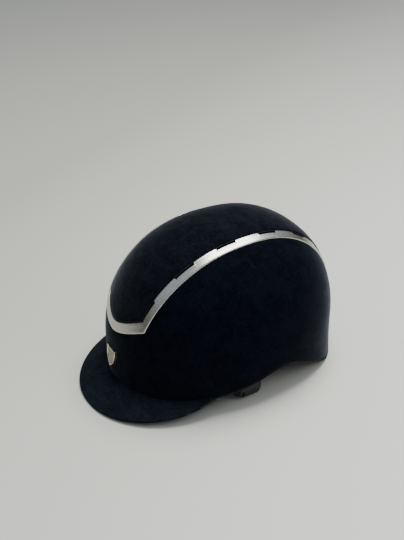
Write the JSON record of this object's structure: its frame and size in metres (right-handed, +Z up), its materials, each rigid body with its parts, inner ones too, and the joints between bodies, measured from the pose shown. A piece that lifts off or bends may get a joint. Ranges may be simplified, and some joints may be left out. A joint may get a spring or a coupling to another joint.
{
  "type": "equestrian riding helmet",
  "caption": "Suede-covered riding helmet with a curved peak, framed centre panel, front badge, foam liner, dial-adjusted nape cradle and side-release chin harness.",
  "frame": {"origin": "middle of the footprint, on the surface that the helmet stands on", "axes": "+Z up, -Y forward to the peak, +X to the wearer's left"},
  "size_m": [0.2126, 0.3045, 0.1844],
  "materials": {
    "suede": "matte navy-black suede cloth",
    "shell_plastic": "moulded black",
    "foam": "expanded bead foam",
    "brushed_trim": "brushed, satin",
    "badge_metal": "polished warm rim",
    "badge_field": "satin, plain",
    "black_mesh": "fine mesh",
    "rubber": "matte",
    "lining_cloth": "woven",
    "pad_cloth": "knitted, padded",
    "webbing": "woven webbing",
    "harness_plastic": "moulded dark grey",
    "black_plastic": "moulded, semi-matte",
    "screw_steel": "satin",
    "chin_leather": "synthetic, fine grain"
  },
  "bodies": {
    "helmet": {"side_cover": "suede", "panel_cover": "suede", "peak_cover": "suede", "outer_shell": "shell_plastic", "panel_moulding": "shell_plastic", "peak_board": "shell_plastic", "foam_liner": "foam", "trim_frame": "brushed_trim", "badge_bezel": "badge_metal", "badge_inlay": "badge_field", "rim_binding": "rubber", "peak_lining": "lining_cloth", "brow_pad": "pad_cloth", "crown_pad": "pad_cloth", "nape_pad": "pad_cloth", "vent_grille_left": "black_mesh", "side_pad_left": "pad_cloth", "front_anchor_left": "black_plastic", "rear_anchor_left": "black_plastic", "front_strap_left": "webbing", "rear_strap_left": "webbing", "strap_divider_left": "harness_plastic", "dial_screw_left": "screw_steel", "vent_grille_right": "black_mesh", "side_pad_right": "pad_cloth", "front_anchor_right": "black_plastic", "rear_anchor_right": "black_plastic", "front_strap_right": "webbing", "rear_strap_right": "webbing", "strap_divider_right": "harness_plastic", "dial_screw_right": "screw_steel", "dial_housing": "black_plastic", "dial_cover": "black_plastic", "cradle_hanger": "black_plastic"},
    "dial": {"dial_pinion": "harness_plastic", "dial_knob": "rubber"},
    "cradle_left": {"cradle_arm_left": "black_plastic"},
    "cradle_right": {"cradle_arm_right": "black_plastic"},
    "chin_left": {"chin_strap_left": "webbing", "buckle_plug": "black_plastic", "strap_keeper": "rubber"},
    "chin_right": {"chin_strap_right": "webbing", "buckle_socket": "black_plastic", "chin_pad": "chin_leather"},
    "prong_front": {"plug_prong_front": "black_plastic"},
    "prong_rear": {"plug_prong_rear": "black_plastic"}
  },
  "joints": [
    {"name": "dial_turn", "type": "hinge", "parent": "helmet", "child": "dial", "pos_m": [0, 0.1149, 0.024], "axis": [0, -1, 0], "range_deg": [0, 90]},
    {"name": "cradle_left_slide", "type": "slide", "parent": "helmet", "child": "cradle_left", "axis": [-1, 0, 0], "range_m": [0, 0.0079]},
    {"name": "cradle_right_slide", "type": "slide", "parent": "helmet", "child": "cradle_right", "axis": [1, 0, 0], "range_m": [0, 0.0079]},
    {"name": "chin_left_swing", "type": "hinge", "parent": "helmet", "child": "chin_left", "pos_m": [0.083, 0.0095, 0.007], "axis": [0, -1, 0], "range_deg": [0, 95]},
    {"name": "chin_right_swing", "type": "hinge", "parent": "helmet", "child": "chin_right", "pos_m": [-0.083, 0.0095, 0.007], "axis": [0, 1, 0], "range_deg": [0, 95]},
    {"name": "prong_front_squeeze", "type": "hinge", "parent": "chin_left", "child": "prong_front", "pos_m": [0.01344, 0.02684, 0.0043], "axis": [0, 0, -1], "range_deg": [0, 8], "stiffness_Nm_per_rad": 0.2},
    {"name": "prong_rear_squeeze", "type": "hinge", "parent": "chin_left", "child": "prong_rear", "pos_m": [0.01857, 0.04093, 0.0043], "axis": [0, 0, 1], "range_deg": [0, 8], "stiffness_Nm_per_rad": 0.2}
  ],
  "couplings": [
    {"joint": "cradle_left_slide", "follows": "dial_turn", "m_per_rad": 0.005},
    {"joint": "cradle_right_slide", "follows": "dial_turn", "m_per_rad": 0.005}
  ]
}
